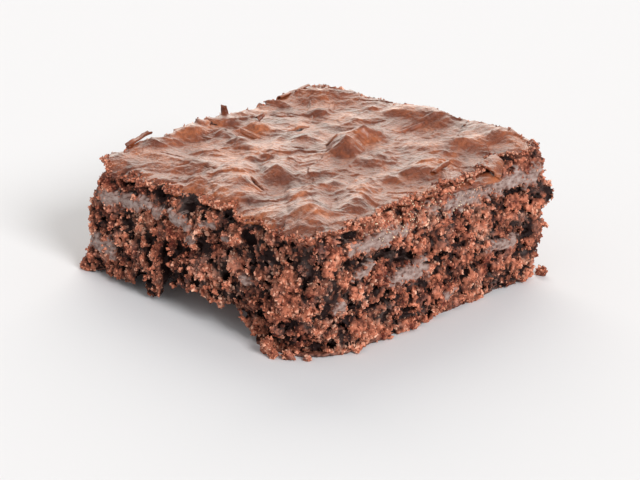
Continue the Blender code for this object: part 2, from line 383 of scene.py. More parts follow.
def skin(inside, points, depth, smear):
    """The surface where inside is zero: one vertex in each grid cell that it crosses, at the middle of its
    crossings, and one quad round each grid edge that it crosses. Returns vertices, quads, the quads'
    columns, depth and smear."""
    solid = inside > 0.0
    corners = list(product((0, 1), repeat=3))

    def shifted(array, corner):
        column, row, layer = corner
        rows, layers = array.shape[1] - 1, array.shape[2] - 1
        return np.roll(array, -column, 0)[:, row : rows + row, layer : layers + layer]

    count = sum(shifted(solid, corner).astype(np.int8) for corner in corners)
    crossed = (count > 0) & (count < 8)
    number = np.full(crossed.shape, -1, np.int64)
    number[crossed] = np.arange(crossed.sum())
    values = [shifted(inside, corner)[crossed] for corner in corners]
    places = [shifted(points, corner)[crossed] for corner in corners]
    depths = [shifted(depth, corner)[crossed] for corner in corners]
    total = np.zeros((crossed.sum(), 4))
    hits = np.zeros(crossed.sum())
    for a, b in product(range(8), repeat=2):
        if b <= a or sum(abs(p - q) for p, q in zip(corners[a], corners[b])) != 1:
            continue
        cut = (values[a] > 0.0) != (values[b] > 0.0)
        part = np.where(cut, values[a] / np.where(cut, values[a] - values[b], 1.0), 0.0)
        point = places[a] + part[:, None] * (places[b] - places[a])
        deep = depths[a] + part * (depths[b] - depths[a])
        total += np.column_stack([point, deep]) * cut[:, None]
        hits += cut
    total /= hits[:, None]
    spread_smear = np.broadcast_to(smear, inside.shape)[:, :-1, :-1][crossed]

    quads = []
    before = np.roll(number, 1, 0)
    along = (solid != np.roll(solid, -1, 0))[:, 1:-1, 1:-1]
    four = [number[:, :-1, :-1], number[:, 1:, :-1], number[:, 1:, 1:], number[:, :-1, 1:]]
    quads.append((along, four, solid[:, 1:-1, 1:-1]))
    up = (solid[:, :-1] != solid[:, 1:])[:, :, 1:-1]
    four = [before[:, :, :-1], before[:, :, 1:], number[:, :, 1:], number[:, :, :-1]]
    quads.append((up, four, solid[:, :-1, 1:-1]))
    deeper = (solid[:, :, :-1] != solid[:, :, 1:])[:, 1:-1]
    four = [before[:, :-1], number[:, :-1], number[:, 1:], before[:, 1:]]
    quads.append((deeper, four, solid[:, 1:-1, :-1]))
    faces = []
    owners = []
    for hit, four, first_solid in quads:
        quad = np.stack([f[hit] for f in four], -1)
        faces.append(np.where(first_solid[hit][:, None], quad[:, ::-1], quad))
        owners.append(np.nonzero(hit)[0])
    return total[:, :3], np.concatenate(faces), np.concatenate(owners), total[:, 3], spread_smear


vertices, quads, owners, pit_depth_shade, smear_here = skin(inside, points, depth, smear)
# Painted shade: each point's pit depth also darkens the crumb's colour, less so near the crust.
pit_depth_shade = pit_depth_shade * (1.0 - 0.6 * ease((vertices[:, 2] - 21.5) / 3.0))
bent = bend(vertices)
# Painted shade: more darkening between two granules.
between = clump(bent, GRANULE, 46)[0] + clump(bent, LUMP, 45)[0] - 0.92  # more between two granules
pit_depth_shade = pit_depth_shade + (1.0 - smear_here) * 0.9 * between


def open_edges(faces, count):
    """The directed edges of the faces that have no face on their other side."""
    start = faces.ravel()
    end = np.roll(faces, -1, 1).ravel()
    alone = ~np.isin(start * count + end, end * count + start)
    return start[alone], end[alone]


def make_piece(name, vertices, face_sets, flat=(), marks=None):
    """A mesh piece from vertices in millimetres and arrays of quads or triangles. The sets in flat are
    flat-shaded, and marks are numbers kept for each vertex."""
    mesh = bpy.data.meshes.new(name)
    mesh.vertices.add(len(vertices))
    placed = np.array(vertices, np.float64)
    placed[:, :2] -= MIDDLE
    mesh.vertices.foreach_set("co", (placed / 1000.0).astype(np.float32).ravel())
    sizes = np.concatenate([np.full(len(faces), faces.shape[1]) for faces in face_sets])
    mesh.loops.add(int(sizes.sum()))
    corners = np.concatenate([faces.ravel() for faces in face_sets])
    mesh.loops.foreach_set("vertex_index", corners.astype(np.int32))
    mesh.polygons.add(len(sizes))
    mesh.polygons.foreach_set("loop_start", np.concatenate([[0], np.cumsum(sizes)[:-1]]).astype(np.int32))
    mesh.update(calc_edges=True)
    mesh.validate()
    sharp = np.repeat([number in flat for number in range(len(face_sets))], [len(f) for f in face_sets])
    mesh.attributes.new("sharp_face", "BOOLEAN", "FACE").data.foreach_set("value", sharp)
    for mark, values in (marks or {}).items():
        mesh.attributes.new(mark, "FLOAT", "POINT").data.foreach_set("value", values.astype(np.float32))
    piece = bpy.data.objects.new(name, mesh)
    bpy.context.scene.collection.objects.link(piece)
    return piece


def hand_in(piece, material):
    """Gives a finished piece its material, sets it to ride on the root, and hides the brownie solid."""
    piece.data.materials.append(material)
    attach(piece, "root")
    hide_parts("brownie")


def paint(code):
    """Linear colour of an sRGB hex value."""
    parts = [int(code[i : i + 2], 16) / 255 for i in (1, 3, 5)]
    return [c / 12.92 if c <= 0.04045 else ((c + 0.055) / 1.055) ** 2.4 for c in parts] + [1.0]


def feed(node, inputs):
    """Gives a node's sockets their values, or links from another node's socket or first output."""
    for key, value in inputs.items():
        if isinstance(value, bpy.types.Node):
            value = value.outputs[0]
        if isinstance(value, bpy.types.NodeSocket):
            node.id_data.links.new(value, node.inputs[key])
        else:
            node.inputs[key].default_value = value


def add(tree, kind, inputs, stops=(), **settings):
    """Adds a node: settings are its properties, inputs what feeds it, stops its ramp's colours."""
    made = tree.nodes.new("ShaderNode" + kind)
    for key, value in settings.items():
        setattr(made, key, value)
    feed(made, inputs)
    for number, (position, colour) in enumerate(stops):
        points = made.color_ramp.elements
        point = points[number] if number < 2 else points.new(position)
        point.position = position
        point.color = paint(colour)
    return made


def new_material(name):
    """An empty material tree with its shader, and where its patterns lie."""
    material = bpy.data.materials.new(name)
    material.use_nodes = True
    tree = material.node_tree
    tree.nodes.clear()
    surface = add(tree, "BsdfPrincipled", {})
    add(tree, "OutputMaterial", {"Surface": surface})
    place = add(tree, "TexCoord", {}).outputs["Object"]
    return material, tree, surface, place


def noise_of(place, size, detail, **more):
    """What feeds a noise whose features are size millimetres across: its scale is per metre."""
    return {"Vector": place, "Scale": 1000.0 / size, "Detail": detail, **more}


def cocoa_sponge():
    """Baked cocoa sponge, torn: matt orange-brown, lifted by a painted highlight on the granules that catch
    the light, and darkened by painted shade to near black in its pores and pits, with melted chocolate
    smeared over it in smoother patches whose grey-brown is partly its own colour and partly a painted
    sheen."""
    material, tree, surface, place = new_material("cocoa_sponge_torn")
    broad = add(tree, "TexNoise", noise_of(place, 6.0, 2.0))
    grainy = add(tree, "TexNoise", noise_of(place, 0.9, 3.0))
    both = add(tree, "Math", {0: broad, 1: grainy}, operation="ADD")
    tone = add(tree, "Attribute", {}, attribute_name="tone").outputs["Fac"]
    both = add(tree, "Math", {0: both, 1: tone}, operation="ADD")
    half = add(tree, "Math", {0: both, 1: 0.5}, operation="MULTIPLY")
    warm = [(0.38, "#602619"), (0.78, "#fbc8ac"), (0.56, "#d07e60")]
    crumb = add(tree, "ValToRGB", {0: half}, warm)
    # Painted shade: the colour is mixed towards near black by the pit depth and in painted pores from a
    # noise.
    pit_depth_shade = add(tree, "Attribute", {}, attribute_name="pit_depth_shade").outputs["Fac"]
    deep = add(tree, "MapRange", {0: pit_depth_shade, 1: -0.4, 2: 0.9})
    holes = add(tree, "TexNoise", noise_of(place, 0.8, 2.0))
    pore = add(tree, "MapRange", {0: holes, 1: 0.34, 2: 0.43, 3: 0.8, 4: 0.0})
    dark = add(tree, "Math", {0: deep, 1: pore}, operation="MAXIMUM")
    blend = {0: dark, 6: crumb, 7: paint("#1c0705")}
    shaded = add(tree, "Mix", blend, data_type="RGBA")
    dragged = add(tree, "VectorMath", {0: place, 1: (0.7, 0.7, 1.3)}, operation="MULTIPLY")
    streak = add(tree, "TexNoise", noise_of(dragged, 0.8, 5.0))
    # The smeared chocolate's grey-brown is partly its own colour and partly a painted sheen of the bright
    # room.
    chocolate_and_sheen = [(0.3, "#583d36"), (0.72, "#ad9b95"), (0.46, "#8c736b")]
    fudge_and_sheen = add(tree, "ValToRGB", {0: streak}, chocolate_and_sheen)
    smear = add(tree, "Attribute", {}, attribute_name="smear").outputs["Fac"]
    films = add(tree, "TexNoise", noise_of(place, 3.6, 3.0))
    film = add(tree, "MapRange", {0: films, 1: 0.52, 2: 0.66, 4: 0.2})
    filmed = add(tree, "Math", {0: smear, 1: film}, operation="MAXIMUM")
    blend = {0: filmed, 6: shaded.outputs[2], 7: fudge_and_sheen}
    colour = add(tree, "Mix", blend, data_type="RGBA")
    rough = add(tree, "MapRange", {0: smear, 3: 0.72, 4: 0.48})
    fine = add(tree, "TexNoise", noise_of(place, 0.3, 3.0))
    bump = add(tree, "Bump", {"Height": fine, "Strength": 0.5, "Distance": 0.00015})
    feed(surface, {"Base Color": colour.outputs[2], "Roughness": rough})
    feed(surface, {"Specular IOR Level": 0.25, "Normal": bump})
    return material


sponge = cocoa_sponge()
HEART = np.array([[0.0, 1.6, 13.0]])  # the middle of the cake, where each cut's block is closed
for side, name in enumerate(("near_cut", "right_cut", "far_cut", "left_cut")):
    chosen = quads[owners // SIDE_STEPS == side]
    used, renumbered = np.unique(chosen, return_inverse=True)
    chosen = renumbered.reshape(-1, 4)
    start, end = open_edges(chosen, len(used))
    back = np.stack([end, start, np.full(len(start), len(used))], -1)
    # Each vertex keeps its pit depth, which paints shade into its colour, and its smear.
    marks = {"pit_depth_shade": np.append(pit_depth_shade[used], 0.0), "smear": np.append(smear_here[used], 0.0)}
    side_vertices = np.concatenate([vertices[used], HEART])
    hand_in(make_piece(name, side_vertices, [chosen, back], flat=(1,), marks=marks), sponge)

# ------------------------------------------------------------------------------
# Granules of crumb: torn ends of the sponge's cell walls and crumbs that cling to the cuts, a third to
# three quarters of a millimetre across, with finer grit between them. Each is a small angular pebble half
# sunk in the crumb under it.


def ring_faces(columns, rings):
    """Quads between rings of a surface whose columns run round it, the rings stored one after another."""
    column = np.arange(columns)
    ring = np.arange(rings - 1)[:, None] * columns
    after = (column + 1) % columns
    four = [ring + column, ring + after, ring + columns + after, ring + columns + column]
    return np.stack(four, -1).reshape(-1, 4)


def tip_faces(columns, rings):
    """Triangles from such a surface's first ring to one tip and from its last to another, stored last."""
    column = np.arange(columns)
    after = (column + 1) % columns
    last = (rings - 1) * columns
    north = np.stack([column, after, np.full(columns, rings * columns)], -1)
    south = np.stack([last + after, last + column, np.full(columns, rings * columns + 1)], -1)
    return np.concatenate([north, south])


def pebbles(places, radius, columns, rings, seed):
    """Angular pebbles, one at each place: rings of columns between two poles, each vertex drawn in or out
    by a lot, then stretched and turned by lots, none below the board. Returns vertices, triangles, quads
    and a tone for each vertex."""
    dice = np.random.default_rng(seed)
    many = len(places)
    tilt = np.pi * np.arange(1, rings + 1) / (rings + 1)
    turn = 2.0 * np.pi * (np.arange(columns)[None, :] + 0.5 * np.arange(rings)[:, None]) / columns
    ring = np.stack([np.sin(tilt)[:, None] * np.cos(turn), np.sin(tilt)[:, None] * np.sin(turn)], -1)
    ring = np.concatenate([ring, np.broadcast_to(np.cos(tilt)[:, None, None], ring[..., :1].shape)], -1)
    shape = np.concatenate([ring.reshape(-1, 3), [[0.0, 0.0, 1.0], [0.0, 0.0, -1.0]]])
    drawn = shape * dice.uniform(0.4, 1.45, (many, len(shape), 1)) * dice.uniform(0.5, 1.6, (many, 1, 3))
    axes, _ = np.linalg.qr(dice.normal(size=(many, 3, 3)))
    axes = axes * np.linalg.det(axes)[:, None, None]
    vertices = np.einsum("nij,nvj->nvi", axes, drawn) * radius[:, None, None] + places[:, None]
    vertices[..., 2] = np.maximum(vertices[..., 2], 0.01)
    first = np.arange(many)[:, None, None] * len(shape)
    triangles = (first + tip_faces(columns, rings)).reshape(-1, 3)
    quads = (first + ring_faces(columns, rings)[:, ::-1]).reshape(-1, 4)
    tone = np.repeat(dice.uniform(-1.0, 1.0, many), len(shape))
    return vertices.reshape(-1, 3), triangles, quads, tone


# ------------------------------------------------------------------------------
# Clumps that fell to the board beside the cuts: lumps of the same sponge, one to four millimetres tall,
# that came away with the knife. Each is a globe drawn in and out by clumps, and flat where it rests.

CLUMP_COLUMNS, CLUMP_RINGS = 48, 30

# Middle x, y, half sizes along X, Y and Z
FALLEN = (
    (24.3, -33.7, 1.2, 1.0, 2.3),
    (26.0, -33.9, 1.3, 0.8, 1.2),
    (22.9, -33.4, 0.9, 0.9, 1.5),
    (28.2, -32.3, 1.6, 0.9, 1.0),
    (36.0, 35.0, 1.4, 1.1, 1.1),
    (31.5, -30.0, 0.8, 0.6, 0.5),
    (-35.4, -32.6, 1.2, 1.0, 0.9),
)


def fallen_clump(x, y, half_x, half_y, half_z, seed):
    """A clump: a globe drawn in and out by clumps and granules, and flat where it rests."""
    turns = np.arange(CLUMP_COLUMNS) * 2.0 * np.pi / CLUMP_COLUMNS
    tilts = (np.arange(CLUMP_RINGS) + 1) * np.pi / (CLUMP_RINGS + 1)
    turn, tilt = np.meshgrid(turns, tilts)
    ball = np.stack([np.sin(tilt) * np.cos(turn), np.sin(tilt) * np.sin(turn), np.cos(tilt)], -1)
    ball = np.concatenate([ball.reshape(-1, 3), [[0.0, 0.0, 1.0], [0.0, 0.0, -1.0]]])
    place = ball * [half_x, half_y, half_z]
    out = 1.25 - 0.75 * clump(place + 40.0 * seed, 1.6, 55)[0] + 0.2 * swell(place + 40.0 * seed, 0.8, 56)
    place = place * out[:, None] + [x, y, 0.8 * half_z]
    place[:, 2] = np.maximum(place[:, 2], 0.03)
    return place


clump_vertices = np.stack([fallen_clump(*sizes, seed) for seed, sizes in enumerate(FALLEN)])
starts = np.arange(len(FALLEN))[:, None, None] * clump_vertices.shape[1]
clump_vertices = clump_vertices.reshape(-1, 3)
clump_triangles = (starts + tip_faces(CLUMP_COLUMNS, CLUMP_RINGS)).reshape(-1, 3)
clump_quads = (starts + ring_faces(CLUMP_COLUMNS, CLUMP_RINGS)[:, ::-1]).reshape(-1, 4)
hand_in(make_piece("fallen_clumps", clump_vertices, [clump_triangles, clump_quads]), sponge)

# ------------------------------------------------------------------------------
# Granules and grit in place: the granules sit on the outermost crumb, and the finer grit reaches down
# between them. A fortieth as many again lie on the fallen clumps, and a few cling to the smeared chocolate.

ON_CLUMPS = 40  # one lies on the fallen clumps for each forty on the cuts

# Name, how many, least and most radius, deepest crumb that they sit on, columns, rings and seed
for name, many, smallest, largest, deepest, columns, rings, seed in (
    ("granules", 9600, 0.16, 0.4, 1.0, 5, 2, 5),
    ("grit", 24000, 0.1, 0.26, 1.8, 4, 1, 6),
):
    dice = np.random.default_rng(seed)
    kept = smear_here < dice.uniform(0.2, 1.15, len(vertices))
    outermost = np.flatnonzero((pit_depth_shade < deepest) & kept & (vertices[:, 2] > 0.3))
    chosen = dice.choice(outermost, many, replace=False)
    on_clumps = dice.choice(clump_vertices, many // ON_CLUMPS)
    places = np.concatenate([vertices[chosen], on_clumps])
    places = places + dice.uniform(-0.15, 0.15, places.shape)
    radius = smallest + (largest - smallest) * dice.uniform(0.0, 1.0, len(places)) ** 1.5
    places[:, 2] = np.maximum(places[:, 2], radius * 1.3)
    grains, triangles, belts, tone = pebbles(places, radius, columns, rings, seed)
    # Each granule takes the painted shade of the crumb under it, lessened, and its tone is lifted by 0.12,
    # a painted highlight for tips that catch the light, with a random spread.
    sunk = np.concatenate([pit_depth_shade[chosen], np.zeros(len(on_clumps))]) - 0.35
    marks = {"pit_depth_shade": np.repeat(sunk, len(grains) // len(places)), "tone": 0.12 + 0.26 * tone}
    hand_in(make_piece(name, grains, [triangles, belts], flat=(0, 1), marks=marks), sponge)

# ------------------------------------------------------------------------------
# The baked base: the skin of the cake that set against the tin. It is thin, darker and closer than the
# crumb, lies flat on the board, and reaches a little out of the worn corner where the crumb above it has
# come away.

BASE_SKIN = 0.45
BASE_COLUMNS, BASE_RINGS = 720, 60
WORN_AT = np.array([31.0, -22.0])  # where the worn corner shows most of the base
turns = np.arange(BASE_COLUMNS) * 4.0 / BASE_COLUMNS
base_turn, base_ring = np.meshgrid(turns, np.linspace(0.02, 1.0, BASE_RINGS))


def base_points(turn, ring, up):
    """The base skin: rings of the outline shrunk towards the middle, on the board, and raised over the
    hollow."""
    edge, outwards = outline(around(turn), np.zeros_like(turn))
    rim = level(edge[..., 0], edge[..., 1])
    to_worn = np.linalg.norm(edge - WORN_AT, axis=-1)
    out = -1.2 + 0.9 * np.exp(-((to_worn / 9.0) ** 2))
    out = out + 0.4 * swell(rim, 2.6, 61) + 0.35 * swell(rim, 0.9, 62)
    out = out - 3.0 * ease(hollow_height(edge[..., 0], edge[..., 1]) / 1.5)
    plan = edge * ring[..., None] + outwards * (out * ring**6)[..., None]
    roof = hollow_height(plan[..., 0], plan[..., 1])
    lift = 0.5 * np.exp(-((to_worn / 8.0) ** 2)) * ease((ring - 0.9) / 0.1)
    return np.concatenate([plan, (roof + 1.2 * ease(roof / 2.0) + lift + up)[..., None]], -1)


under = base_points(base_turn, base_ring, 0.0).reshape(-1, 3)
over = base_points(base_turn, base_ring[::-1], BASE_SKIN).reshape(-1, 3)
stacked = np.concatenate([under, over, [[0.0, 0.0, 0.0], [0.0, 0.0, BASE_SKIN]]])
base_faces = [faces(BASE_COLUMNS, 2 * BASE_RINGS)[:, ::-1] for faces in (ring_faces, tip_faces)]


def baked_base():
    """Baked cocoa cake against metal: close, brown, faintly glossy with fat."""
    material, tree, surface, place = new_material("cocoa_cake_base")
    mottle = add(tree, "TexNoise", noise_of(place, 1.0, 4.0))
    colour = add(tree, "ValToRGB", {0: mottle}, [(0.38, "#3a1a12"), (0.64, "#8f5a48")])
    fine = add(tree, "TexNoise", noise_of(place, 0.5, 4.0))
    bump = add(tree, "Bump", {"Height": fine, "Strength": 0.6, "Distance": 0.0002})
    feed(surface, {"Base Color": colour, "Roughness": 0.55, "Normal": bump})
    return material


hand_in(make_piece("base_skin", stacked, base_faces), baked_base())

# ------------------------------------------------------------------------------
# The crust: a skin of sugar and cocoa that dried first in the oven, rose, fell back and crinkled into
# mounds, folds and plates. It is brittle, and broken to a ragged lip along the cuts, where it is half a
# millimetre thick.

CRUST_STEPS = 286
SKIN_THICK = 0.55

# Notches where the lip has broken away: side, place along it, half width, depth
NOTCHES = (
    (0, -13.0, 2.6, 1.6),
    (0, -4.0, 4.4, 2.9),
    (0, 6.5, 4.4, 2.4),
    (0, 16.5, 3.0, 1.8),
    (1, -12.0, 3.4, 2.3),
    (1, 12.5, 4.0, 1.2),
    (1, 22.5, 5.0, 4.6),
    (2, 6.0, 4.0, 1.6),
    (2, -18.0, 3.0, 1.2),
    (3, 16.0, 3.0, 1.2),
    (3, -8.0, 4.0, 1.0),
)

# Mounds, each with a crest, a short steep front and a long back: x, y, heading of the crest, half length
# of the crest, length of the front, height
MOUNDS = (
    (-29.0, -15.0, 70.0, 5.5, 1.8, 0.9),
    (-28.5, -6.9, 30.0, 3.0, 1.8, 0.9),
    (-24.0, -2.6, 26.0, 3.2, 2.3, 1.2),
    (-28.0, 3.3, 30.0, 2.6, 1.3, 0.7),
    (-32.0, -2.4, 33.0, 2.2, 1.5, 0.8),
    (-21.5, 5.4, 29.0, 2.6, 1.6, 0.8),
    (-17.8, -3.5, 28.0, 2.6, 1.6, 0.8),
    (-18.7, 22.3, 38.0, 3.0, 2.3, 1.2),
    (-0.6, 32.4, 24.0, 6.5, 3.0, 0.6),
    (8.5, 31.4, 30.0, 3.4, 2.2, 0.7),
    (23.6, 32.4, 20.0, 5.6, 2.8, 0.7),
    (4.6, 6.6, 38.0, 4.2, 3.9, 3.0),
    (12.1, 5.2, 33.0, 7.0, 2.1, 0.9),
    (1.6, 15.6, 32.0, 4.0, 2.6, 1.3),
    (2.1, -10.3, 38.0, 4.2, 5.8, 2.0),
    (26.2, 8.0, 26.0, 5.0, 4.1, 1.7),
    (27.0, -12.9, 48.0, 4.0, 4.2, 1.7),
    (24.6, -22.7, 49.0, 4.4, 6.0, 2.0),
    (1.2, -20.0, 62.0, 5.6, 5.4, 1.9),
    (-7.0, -24.0, 39.0, 2.4, 3.0, 1.2),
    (-17.8, -21.9, 33.0, 7.5, 2.2, 1.0),
    (22.3, -6.3, 27.0, 3.6, 2.8, 1.3),
    (-18.2, -12.0, 24.0, 5.5, 1.8, 0.7),
    (14.1, 17.9, 9.0, 4.4, 1.5, 0.6),
    (9.0, -6.5, 19.0, 4.0, 2.4, 0.9),
    (21.2, 25.4, 31.0, 5.6, 1.8, 0.6),
    (-23.6, 27.6, 42.0, 5.6, 2.1, 0.7),
    (-7.8, -8.8, 13.0, 3.4, 2.1, 0.9),
    (-10.0, 30.0, 40.0, 3.0, 1.8, 0.7),
    (12.0, 28.0, 10.0, 3.4, 1.7, 0.6),
    (-8.5, 7.0, 50.0, 3.0, 2.4, 0.9),
    (16.0, -16.0, 62.0, 4.0, 2.0, 0.8),
)

# Cracks, from one end to the other: x, y, x, y, half width, depth
CRACKS = (
    (-15.0, 8.6, -14.6, 14.1, 0.8, 1.8),
    (-25.6, -18.4, -17.8, -16.8, 0.22, 0.6),
    (-12.4, -18.1, -7.2, -17.4, 0.22, 0.6),
    (1.2, -16.5, 5.9, -17.6, 0.3, 1.1),
    (-5.9, 1.8, -3.6, 2.8, 0.4, 0.9),
    (22.4, 15.6, 25.2, 15.5, 0.7, 0.9),
    (-2.0, 8.5, -0.6, 7.6, 0.5, 1.2),
    (10.0, 24.0, 16.0, 26.0, 0.2, 0.6),
    (-26.0, 14.0, -20.0, 17.0, 0.2, 0.5),
    (27.0, -4.0, 31.0, 0.0, 0.2, 0.6),
)


def mound(x, y, middle_x, middle_y, heading, half_crest, front, height):
    """A mound: its crest is an arc, its front falls in a straight line, and its back dies away slowly.
    Under half of it is smooth, and the rest is a pyramid with sharp edges."""
    turn = np.radians(heading)
    along = ((x - middle_x) * np.cos(turn) + (y - middle_y) * np.sin(turn)) / half_crest
    ahead = (x - middle_x) * np.sin(turn) - (y - middle_y) * np.cos(turn) + 0.5 * front * along**2
    ahead = np.where(ahead > 0.0, ahead / front, -ahead / (2.6 * front))
    smooth = np.maximum(1.0 - np.abs(along) ** 2.2, 0.0) ** 0.8 * np.maximum(1.0 - ahead, 0.0) ** 1.1
    faceted = np.maximum(1.0 - np.maximum(np.abs(along), ahead), 0.0)
    return height * (0.45 * smooth + 0.65 * faceted)


def crack(x, y, x0, y0, x1, y1, half_width, depth):
    """A crack: a dip along the straight line between two points, narrower towards its ends."""
    run = np.array([x1 - x0, y1 - y0])
    along = np.clip(((x - x0) * run[0] + (y - y0) * run[1]) / (run @ run), 0.0, 1.0)
    away = np.hypot(x - x0 - along * run[0], y - y0 - along * run[1])
    width = half_width * (0.35 + 2.6 * along * (1.0 - along))
    return depth * np.exp(-((away / width) ** 2))


def crease(points, size, seed, sharp):
    """Ridges where smooth lumps pass through zero, from 0 to 1."""
    return np.maximum(1.0 - sharp * np.abs(swell(points, size, seed)), 0.0) ** 1.5


def crinkle(x, y):
    """Relief of the crust, and how much of it is crack: listed mounds and cracks, then creases of
    three sizes that run mostly one way, and crazed lines."""
    flat = level(x, y)
    drift = level(swell(flat, 8.0, 71), swell(flat, 8.0, 72))
    waver = level(swell(flat, 2.8, 73), swell(flat, 2.8, 74))
    bent = flat + 1.8 * drift + 0.5 * waver
    turn = np.radians(38.0)
    along = bent[..., 0] * np.cos(turn) + bent[..., 1] * np.sin(turn)
    over = bent[..., 1] * np.cos(turn) - bent[..., 0] * np.sin(turn)
    combed = level(along / 1.5, over)
    patches = ease(0.5 + 0.9 * swell(flat, 9.0, 75))
    bent_x = x + 0.7 * drift[..., 0] + 0.25 * waver[..., 0]
    bent_y = y + 0.7 * drift[..., 1] + 0.25 * waver[..., 1]
    relief = sum(mound(bent_x, bent_y, *sizes) for sizes in MOUNDS)
    cracks = sum(crack(bent_x, bent_y, *sizes) for sizes in CRACKS)
    relief = relief - cracks
    plate = clump(level(along / 1.4, over), 10.0, 82)[1]
    streaks = ease(0.4 + 1.3 * swell(flat, 5.0, 83))
    relief = relief + 0.32 * swell(combed, 5.2, 79) + 0.42 * crease(combed, 5.6, 77, 2.2) + 0.22 * plate
    relief = relief + 0.2 * crease(combed, 2.6, 78, 2.6) * (0.3 + patches) + 0.05 * swell(flat, 0.55, 81)
    relief = relief + 0.08 * crease(combed, 1.15, 80, 2.8) * streaks
    crazed = np.maximum(1.0 - np.abs(swell(combed, 5.5, 84)) / 0.045, 0.0)
    crazed = crazed * ease(0.1 + 1.6 * swell(flat, 7.0, 85))
    # The second value sets the painted shade of the cracks and crazed lines.
    return relief - 0.22 * crazed - 0.5, cracks + 0.36 * crazed


def crust_points(u, v, under):
    """The crust: a square grid drawn out to the outline at the top, with a ragged lip that turns down. Its
    underside lies under a skin's thickness, more of it away from the lip."""
    ring = np.maximum(np.abs(u), np.abs(v))
    across = np.stack([u, v], -1) / np.maximum(ring, 1e-9)[..., None]
    across = np.where((ring < 1e-9)[..., None], [1.0, 0.0], across)
    edge, outwards = outline(across, np.ones_like(ring))
    rim = level(edge[..., 0], edge[..., 1])
    out = 0.6 + 0.75 * swell(rim, 4.2, 91) + 0.5 * swell(rim, 1.7, 92) + 0.45 * swell(rim, 0.8, 93)
    out = out - 0.9 * ease((swell(rim, 3.1, 94) - 0.2) / 0.12)
    near_most = np.argmax(np.stack([-across[..., 1], across[..., 0], across[..., 1], -across[..., 0]]), 0)
    along = np.choose(near_most, [edge[..., 0], edge[..., 1], -edge[..., 0], -edge[..., 1]])
    for side, middle, half_width, depth in NOTCHES:
        out = out - (near_most == side) * depth * np.exp(-(((along - middle) / half_width) ** 2))
    plan = edge * ring[..., None] + outwards * (out * ring**7)[..., None] + LEAN
    from_lip = (1.0 - ring) * TOP[0] / 2
    droop = 0.1 + 0.9 * (near_most == 0) * ease((along + 33.0) / 8.0)
    droop = droop * ease(1.0 - from_lip / 3.4)
    x, y = plan[..., 0], plan[..., 1]
    relief, cracks = crinkle(x, y)
    height = crust_height(x, y) + relief - droop
    height = height - under * (SKIN_THICK + 0.6 * ease(from_lip / 5.0))
    return np.concatenate([plan, height[..., None], cracks[..., None]], -1).reshape(-1, 4)


def border(grid):
    """The values round the edge of a grid, in order."""
    return np.concatenate([grid[:-1, 0], grid[-1, :-1], grid[:0:-1, -1], grid[0, :0:-1]])


def grid_faces(number):
    """Quads between the numbered vertices of a grid."""
    four = [number[:-1, :-1], number[1:, :-1], number[1:, 1:], number[:-1, 1:]]
    return np.stack(four, -1).reshape(-1, 4)


steps = np.linspace(-1.0, 1.0, CRUST_STEPS + 1)
u, v = np.meshgrid(steps, steps, indexing="ij")
top = crust_points(u, v, 0.0)
number = np.arange(len(top)).reshape(u.shape)
loop = border(number)
rings = np.linspace(1.0, 0.86, 9)[:, None]
tucked = crust_points(rings * border(u), rings * border(v), 1.0)
strip = np.concatenate([loop[None], len(top) + np.arange(len(tucked)).reshape(len(rings), -1)])
after = np.roll(strip, -1, 1)
under_quads = np.stack([strip[:-1], strip[1:], after[1:], after[:-1]], -1).reshape(-1, 4)
tip = len(top) + len(tucked)
under_fan = np.stack([strip[-1], np.full(len(loop), tip), after[-1]], -1)
crust_vertices = np.concatenate([top, tucked, [[0.5, 3.0, 24.0, 0.0]]])
# Painted shade in the cracks and crazed lines: how far each point's colour is darkened towards near black.
painted_crack_shade = ease((crust_vertices[:, 3] - 0.15) / 0.5)


def baked_crust():
    """Dried sugar and cocoa: a thin red-brown skin with a satin gloss, like thin lacquer over card,
    smoother on the stretched plates, with painted shade darkening its cracks and crazed lines to near
    black."""
    material, tree, surface, place = new_material("baked_sugar_crust")
    broad = add(tree, "TexNoise", noise_of(place, 7.0, 4.0, Distortion=0.6))
    browned = [(0.3, "#5e2a14"), (0.72, "#b8683c"), (0.5, "#8c4625")]
    colour = add(tree, "ValToRGB", {0: broad}, browned)
    satin = add(tree, "TexNoise", noise_of(place, 3.0, 3.0))
    rough = add(tree, "MapRange", {0: satin, 1: 0.3, 2: 0.7, 3: 0.34, 4: 0.5})
    painted_crack_shade = add(tree, "Attribute", {}, attribute_name="painted_crack_shade").outputs["Fac"]
    speck = add(tree, "TexNoise", noise_of(place, 0.9, 5.0))
    faint = add(tree, "MapRange", {0: speck, 1: 0.38, 2: 0.62, 3: 0.4, 4: 0.0})
    blend = {0: faint, 6: colour, 7: paint("#4a2014")}
    specked = add(tree, "Mix", blend, data_type="RGBA")
    dark = add(tree, "Mix", {0: painted_crack_shade, 6: specked.outputs[2], 7: paint("#1d0a06")}, data_type="RGBA")
    fine = add(tree, "TexNoise", noise_of(place, 0.9, 5.0, Distortion=0.5))
    bump = add(tree, "Bump", {"Height": fine, "Strength": 0.8, "Distance": 0.0005})
    feed(surface, {"Base Color": dark.outputs[2], "Roughness": rough})
    feed(surface, {"Coat Weight": 0.28, "Coat Roughness": 0.26, "Normal": bump})
    return material


crust_skin = baked_crust()
faces = [grid_faces(number), under_quads, under_fan]
crust = make_piece("crust", crust_vertices[:, :3], faces, flat=(2,), marks={"painted_crack_shade": painted_crack_shade})
hand_in(crust, crust_skin)

# ------------------------------------------------------------------------------
# Crumbs on the lip of the crust: granules of the sponge that the knife dragged up over the broken edge.
# They are the same small pebbles, thick along the near and right-hand lips, thinning out within a few
# millimetres, and a tenth as thick along the other two.

